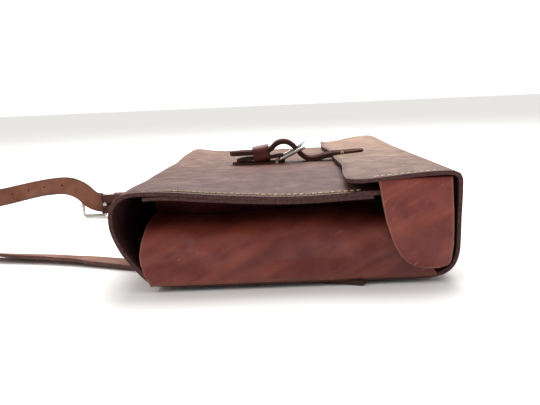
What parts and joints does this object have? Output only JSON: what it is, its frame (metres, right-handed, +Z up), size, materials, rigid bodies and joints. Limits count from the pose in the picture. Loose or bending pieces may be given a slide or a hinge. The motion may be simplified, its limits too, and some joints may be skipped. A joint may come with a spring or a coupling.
{
  "type": "drum stick bag",
  "caption": "Stitched leather case for drum sticks, with a folding lid, pleated ends, a strap and buckle closure and a buckled shoulder strap.",
  "frame": {"origin": "on the table, under the middle of the case", "axes": "+X from the closed bottom edge to the spine, +Y along the sticks, +Z up through the front panel"},
  "size_m": [0.5905, 0.426, 0.0902],
  "materials": {
    "shell": "satin, worn",
    "gusset": "satin, scuffed",
    "strap": "matte",
    "keeper": "satin",
    "thread": "waxed",
    "steel": "polished wire"
  },
  "bodies": {
    "case": {"body_shell": "shell", "near_gusset": "gusset", "far_gusset": "gusset", "near_front_seam": "thread", "far_front_seam": "thread", "near_back_seam": "thread", "far_back_seam": "thread", "closure_chape": "strap", "near_strap_end": "strap", "far_strap_end": "strap", "shoulder_strap_flat": "strap", "shoulder_strap_loop": "strap", "shoulder_strap_far": "strap", "shoulder_chape": "strap"},
    "spine": {"spine_panel": "shell"},
    "lid": {"lid_panel": "shell", "near_ear": "gusset", "far_ear": "gusset", "near_lid_seam": "thread", "far_lid_seam": "thread", "closure_billet": "strap"},
    "closure_frame": {"closure_buckle": "steel"},
    "closure_tongue": {"closure_prong": "steel"},
    "closure_loop": {"closure_keeper": "keeper"},
    "shoulder_frame": {"shoulder_buckle": "steel"},
    "shoulder_tongue": {"shoulder_prong": "steel"},
    "shoulder_loop": {"shoulder_keeper": "keeper"}
  },
  "joints": [
    {"name": "spine_fold", "type": "hinge", "parent": "case", "child": "spine", "pos_m": [0.11545, 0, 0.00911], "axis": [0, 1, 0], "range_deg": [0, 80], "deforming": ["closure_billet"]},
    {"name": "lid_fold", "type": "hinge", "parent": "spine", "child": "lid", "pos_m": [0.1218, 0, 0.0738], "axis": [0, 1, 0], "range_deg": [0, 90], "deforming": ["closure_billet"]},
    {"name": "closure_frame_turn", "type": "hinge", "parent": "case", "child": "closure_frame", "pos_m": [-0.0025, 0, 0.0722], "axis": [0, -1, 0], "range_deg": [0, 50], "deforming": ["closure_billet"]},
    {"name": "closure_tongue_turn", "type": "hinge", "parent": "closure_frame", "child": "closure_tongue", "pos_m": [-0.0025, 0, 0.0722], "axis": [0, -1, 0], "range_deg": [0, 55], "deforming": ["closure_billet"]},
    {"name": "closure_loop_slide", "type": "slide", "parent": "case", "child": "closure_loop", "axis": [-1, 0, 0], "range_m": [-0.001, 0.014]},
    {"name": "shoulder_frame_turn", "type": "hinge", "parent": "case", "child": "shoulder_frame", "pos_m": [-0.213, 0.112, 0.0151], "axis": [0, 0, -1], "range_deg": [0, 50], "deforming": ["shoulder_strap_loop"]},
    {"name": "shoulder_tongue_turn", "type": "hinge", "parent": "shoulder_frame", "child": "shoulder_tongue", "pos_m": [-0.213, 0.112, 0.0151], "axis": [0, 0, -1], "range_deg": [0, 55], "deforming": ["shoulder_strap_loop"]},
    {"name": "shoulder_loop_slide", "type": "slide", "parent": "case", "child": "shoulder_loop", "axis": [1, 0, 0], "range_m": [-0.001, 0.008]}
  ]
}
